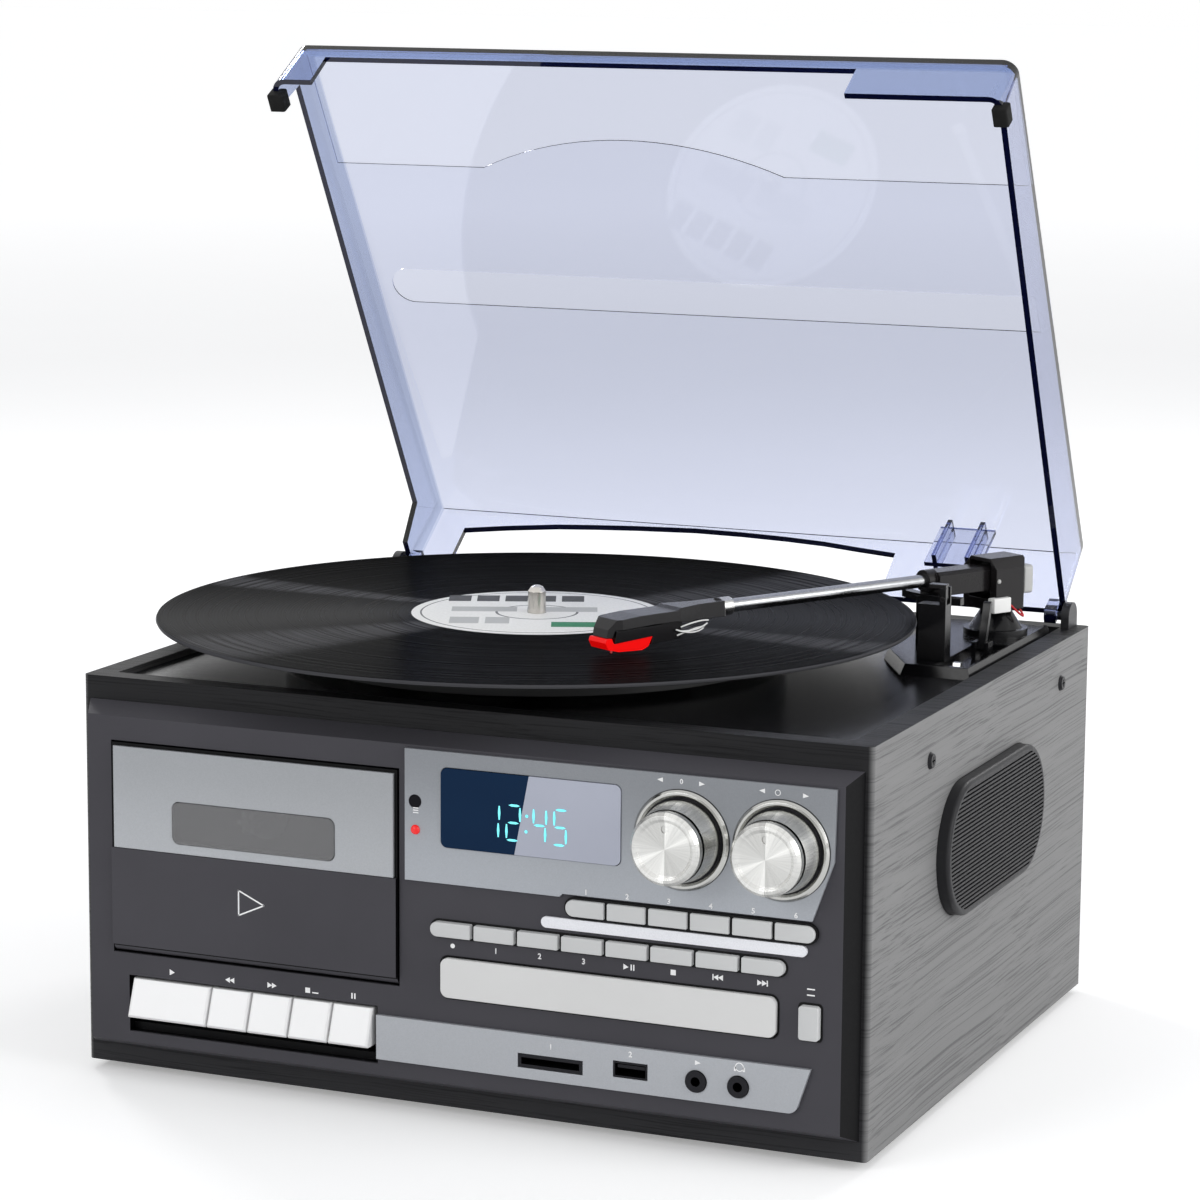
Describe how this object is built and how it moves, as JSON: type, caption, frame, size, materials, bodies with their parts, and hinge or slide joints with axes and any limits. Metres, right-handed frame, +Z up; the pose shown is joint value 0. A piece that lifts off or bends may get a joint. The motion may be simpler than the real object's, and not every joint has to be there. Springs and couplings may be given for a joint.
{
  "type": "record player",
  "caption": "Compact record player in a wooden cabinet with a clear dust cover, tonearm, cassette door, disc tray, radio display, knobs, buttons and side speakers.",
  "frame": {"origin": "centre of the four feet, on the surface that the player stands on", "axes": "+X to the right seen from the front, +Y to the back, +Z up; the front panel faces -Y"},
  "size_m": [0.3402, 0.3209, 0.3894],
  "materials": {
    "cabinet_wood": "grey veneered fibreboard with a fine straight grain",
    "base_board_wood": "dark painted fibreboard",
    "foot_rubber": "matt black rubber",
    "black_screw": "black oxide steel",
    "rear_black_plastic": "fine textured black",
    "grille_plastic": "fine textured dark grey",
    "speaker_paper": "black paper cone and steel basket",
    "bezel_plastic": "dark grey, fine texture",
    "silver_plastic": "silver grey lacquer",
    "lens_plastic": "dark tinted acrylic",
    "trim_plastic": "light grey",
    "knob_metal": "turned and spun face",
    "door_plastic": "dark grey, fine texture",
    "smoked_plastic": "smoked acrylic",
    "well_plastic": "black",
    "hub_plastic": "white",
    "tray_plastic": "light grey",
    "socket_metal": "plated steel shells and black bushes",
    "deck_plastic": "black, fine texture",
    "platter_metal": "black painted steel with a rubber ring",
    "record_vinyl": "pressed vinyl, grooved",
    "pulley_brass": "turned brass",
    "arm_plastic": "dark grey, satin",
    "arm_aluminium": "polished tube",
    "stylus_red": "red moulding",
    "switch_metal": "plated",
    "bumper_rubber": "black rubber",
    "hinge_plastic": "black",
    "button_plastic": "light grey",
    "key_plastic": "white",
    "cover_clear": "clear acrylic with a pale blue tint"
  },
  "bodies": {
    "chassis": {"cabinet_box": "cabinet_wood", "base_board": "base_board_wood", "rubber_feet": "foot_rubber", "side_screws": "black_screw", "rear_panel": "rear_black_plastic", "speaker_grilles": "grille_plastic", "speaker_drivers": "speaker_paper", "front_bezel": "bezel_plastic", "display_facia": "silver_plastic", "front_lenses": "lens_plastic", "facia_trim": "trim_plastic", "cassette_well": "well_plastic", "lower_strip": "silver_plastic", "sockets": "socket_metal", "deck_plate": "deck_plastic", "arm_base": "deck_plastic", "arm_rest": "deck_plastic", "hinge_brackets": "hinge_plastic"},
    "tuning": {"tuning_knob": "knob_metal"},
    "volume": {"volume_knob": "knob_metal"},
    "door": {"cassette_door": "door_plastic", "door_panel": "silver_plastic", "cassette_window": "smoked_plastic"},
    "reel_left": {"reel_hub_left": "hub_plastic"},
    "reel_right": {"reel_hub_right": "hub_plastic"},
    "tray": {"disc_tray": "tray_plastic"},
    "turntable": {"platter": "platter_metal", "vinyl_record": "record_vinyl"},
    "pulley": {"motor_pulley": "pulley_brass"},
    "arm_swivel": {"arm_housing": "arm_plastic"},
    "arm": {"arm_collar": "arm_plastic", "arm_tube": "arm_aluminium", "headshell": "arm_plastic", "stylus_holder": "stylus_red"},
    "clip": {"arm_clip": "arm_plastic"},
    "lifter": {"arm_lifter": "deck_plastic"},
    "lever": {"cue_lever": "deck_plastic"},
    "switch": {"deck_switch": "switch_metal"},
    "cover": {"dust_cover": "cover_clear", "lid_bumpers": "bumper_rubber"},
    "function_button_1_body": {"function_button_1": "button_plastic"},
    "function_button_2_body": {"function_button_2": "button_plastic"},
    "function_button_3_body": {"function_button_3": "button_plastic"},
    "function_button_4_body": {"function_button_4": "button_plastic"},
    "function_button_5_body": {"function_button_5": "button_plastic"},
    "function_button_6_body": {"function_button_6": "button_plastic"},
    "playback_button_1_body": {"playback_button_1": "button_plastic"},
    "playback_button_2_body": {"playback_button_2": "button_plastic"},
    "playback_button_3_body": {"playback_button_3": "button_plastic"},
    "playback_button_4_body": {"playback_button_4": "button_plastic"},
    "playback_button_5_body": {"playback_button_5": "button_plastic"},
    "playback_button_6_body": {"playback_button_6": "button_plastic"},
    "playback_button_7_body": {"playback_button_7": "button_plastic"},
    "playback_button_8_body": {"playback_button_8": "button_plastic"},
    "tray_button_body": {"tray_button": "button_plastic"},
    "cassette_key_1_body": {"cassette_key_1": "key_plastic"},
    "cassette_key_2_body": {"cassette_key_2": "key_plastic"},
    "cassette_key_3_body": {"cassette_key_3": "key_plastic"},
    "cassette_key_4_body": {"cassette_key_4": "key_plastic"},
    "cassette_key_5_body": {"cassette_key_5": "key_plastic"}
  },
  "joints": [
    {"name": "tuning_turn", "type": "hinge", "parent": "chassis", "child": "tuning", "pos_m": [0.0915, -0.143, 0.117], "axis": [0, 1, 0], "continuous": true},
    {"name": "volume_turn", "type": "hinge", "parent": "chassis", "child": "volume", "pos_m": [0.1296, -0.143, 0.117], "axis": [0, 1, 0], "range_deg": [-140, 140]},
    {"name": "door_open", "type": "hinge", "parent": "chassis", "child": "door", "pos_m": [0, -0.1406, 0.0534], "axis": [1, 0, 0], "range_deg": [0, 38]},
    {"name": "reel_left_spin", "type": "hinge", "parent": "chassis", "child": "reel_left", "pos_m": [-0.0934, -0.109, 0.1013], "axis": [0, 1, 0], "continuous": true},
    {"name": "reel_right_spin", "type": "hinge", "parent": "chassis", "child": "reel_right", "pos_m": [-0.0509, -0.109, 0.1013], "axis": [0, 1, 0], "continuous": true},
    {"name": "tray_slide", "type": "slide", "parent": "chassis", "child": "tray", "axis": [0, -1, 0], "range_m": [0, 0.118]},
    {"name": "platter_spin", "type": "hinge", "parent": "chassis", "child": "turntable", "pos_m": [-0.0247, -0.0119, 0.1672], "axis": [0, 0, -1], "continuous": true},
    {"name": "pulley_spin", "type": "hinge", "parent": "chassis", "child": "pulley", "pos_m": [-0.06038, 0.0552, 0.1525], "axis": [0, 0, -1], "continuous": true},
    {"name": "arm_swing", "type": "hinge", "parent": "chassis", "child": "arm_swivel", "pos_m": [0.1335, 0.089, 0.1825], "axis": [0, 0, -1], "range_deg": [-25.3, 10]},
    {"name": "arm_lift", "type": "hinge", "parent": "arm_swivel", "child": "arm", "pos_m": [0.1335, 0.089, 0.1825], "axis": [0.8712, -0.4909, 0], "range_deg": [-6.5, 0]},
    {"name": "clip_open", "type": "hinge", "parent": "chassis", "child": "clip", "pos_m": [0.13325, 0.02417, 0.1819], "axis": [0, -1, 0], "range_deg": [-55, 0]},
    {"name": "cue_raise", "type": "hinge", "parent": "chassis", "child": "lever", "pos_m": [0.1398, 0.052, 0.1575], "axis": [1, 0, 0], "range_deg": [-60, 0]},
    {"name": "lifter_rise", "type": "slide", "parent": "chassis", "child": "lifter", "axis": [0, 0, -1], "range_m": [-0.0045, 0]},
    {"name": "switch_slide", "type": "slide", "parent": "chassis", "child": "switch", "axis": [0, 1, 0], "range_m": [0, 0.003]},
    {"name": "cover_close", "type": "hinge", "parent": "chassis", "child": "cover", "pos_m": [0, 0.127, 0.1595], "axis": [1, 0, 0], "range_deg": [-5, 61.3]},
    {"name": "function_button_1_press", "type": "slide", "parent": "chassis", "child": "function_button_1_body", "axis": [0, 1, 0], "range_m": [0, 0.0012], "stiffness_N_per_m": 600, "springref_m": -0.0006},
    {"name": "function_button_2_press", "type": "slide", "parent": "chassis", "child": "function_button_2_body", "axis": [0, 1, 0], "range_m": [0, 0.0012], "stiffness_N_per_m": 600, "springref_m": -0.0006},
    {"name": "function_button_3_press", "type": "slide", "parent": "chassis", "child": "function_button_3_body", "axis": [0, 1, 0], "range_m": [0, 0.0012], "stiffness_N_per_m": 600, "springref_m": -0.0006},
    {"name": "function_button_4_press", "type": "slide", "parent": "chassis", "child": "function_button_4_body", "axis": [0, 1, 0], "range_m": [0, 0.0012], "stiffness_N_per_m": 600, "springref_m": -0.0006},
    {"name": "function_button_5_press", "type": "slide", "parent": "chassis", "child": "function_button_5_body", "axis": [0, 1, 0], "range_m": [0, 0.0012], "stiffness_N_per_m": 600, "springref_m": -0.0006},
    {"name": "function_button_6_press", "type": "slide", "parent": "chassis", "child": "function_button_6_body", "axis": [0, 1, 0], "range_m": [0, 0.0012], "stiffness_N_per_m": 600, "springref_m": -0.0006},
    {"name": "playback_button_1_press", "type": "slide", "parent": "chassis", "child": "playback_button_1_body", "axis": [0, 1, 0], "range_m": [0, 0.0012], "stiffness_N_per_m": 600, "springref_m": -0.0006},
    {"name": "playback_button_2_press", "type": "slide", "parent": "chassis", "child": "playback_button_2_body", "axis": [0, 1, 0], "range_m": [0, 0.0012], "stiffness_N_per_m": 600, "springref_m": -0.0006},
    {"name": "playback_button_3_press", "type": "slide", "parent": "chassis", "child": "playback_button_3_body", "axis": [0, 1, 0], "range_m": [0, 0.0012], "stiffness_N_per_m": 600, "springref_m": -0.0006},
    {"name": "playback_button_4_press", "type": "slide", "parent": "chassis", "child": "playback_button_4_body", "axis": [0, 1, 0], "range_m": [0, 0.0012], "stiffness_N_per_m": 600, "springref_m": -0.0006},
    {"name": "playback_button_5_press", "type": "slide", "parent": "chassis", "child": "playback_button_5_body", "axis": [0, 1, 0], "range_m": [0, 0.0012], "stiffness_N_per_m": 600, "springref_m": -0.0006},
    {"name": "playback_button_6_press", "type": "slide", "parent": "chassis", "child": "playback_button_6_body", "axis": [0, 1, 0], "range_m": [0, 0.0012], "stiffness_N_per_m": 600, "springref_m": -0.0006},
    {"name": "playback_button_7_press", "type": "slide", "parent": "chassis", "child": "playback_button_7_body", "axis": [0, 1, 0], "range_m": [0, 0.0012], "stiffness_N_per_m": 600, "springref_m": -0.0006},
    {"name": "playback_button_8_press", "type": "slide", "parent": "chassis", "child": "playback_button_8_body", "axis": [0, 1, 0], "range_m": [0, 0.0012], "stiffness_N_per_m": 600, "springref_m": -0.0006},
    {"name": "tray_button_press", "type": "slide", "parent": "chassis", "child": "tray_button_body", "axis": [0, 1, 0], "range_m": [0, 0.0012], "stiffness_N_per_m": 600, "springref_m": -0.0006},
    {"name": "cassette_key_1_press", "type": "hinge", "parent": "chassis", "child": "cassette_key_1_body", "pos_m": [0, -0.124, 0.0372], "axis": [1, 0, 0], "range_deg": [0, 8], "stiffness_Nm_per_rad": 0.6, "springref_deg": -5.73},
    {"name": "cassette_key_2_press", "type": "hinge", "parent": "chassis", "child": "cassette_key_2_body", "pos_m": [0, -0.124, 0.0372], "axis": [1, 0, 0], "range_deg": [0, 8], "stiffness_Nm_per_rad": 0.6, "springref_deg": -5.73},
    {"name": "cassette_key_3_press", "type": "hinge", "parent": "chassis", "child": "cassette_key_3_body", "pos_m": [0, -0.124, 0.0372], "axis": [1, 0, 0], "range_deg": [0, 8], "stiffness_Nm_per_rad": 0.6, "springref_deg": -5.73},
    {"name": "cassette_key_4_press", "type": "hinge", "parent": "chassis", "child": "cassette_key_4_body", "pos_m": [0, -0.124, 0.0372], "axis": [1, 0, 0], "range_deg": [0, 8], "stiffness_Nm_per_rad": 0.6, "springref_deg": -5.73},
    {"name": "cassette_key_5_press", "type": "hinge", "parent": "chassis", "child": "cassette_key_5_body", "pos_m": [0, -0.124, 0.0372], "axis": [1, 0, 0], "range_deg": [0, 8], "stiffness_Nm_per_rad": 0.6, "springref_deg": -5.73}
  ],
  "couplings": [
    {"joint": "pulley_spin", "follows": "platter_spin", "ratio": 14.762},
    {"joint": "cue_raise", "follows": "lifter_rise", "rad_per_m": 232.71},
    {"joint": "arm_lift", "follows": "lifter_rise", "rad_per_m": 25.21}
  ]
}
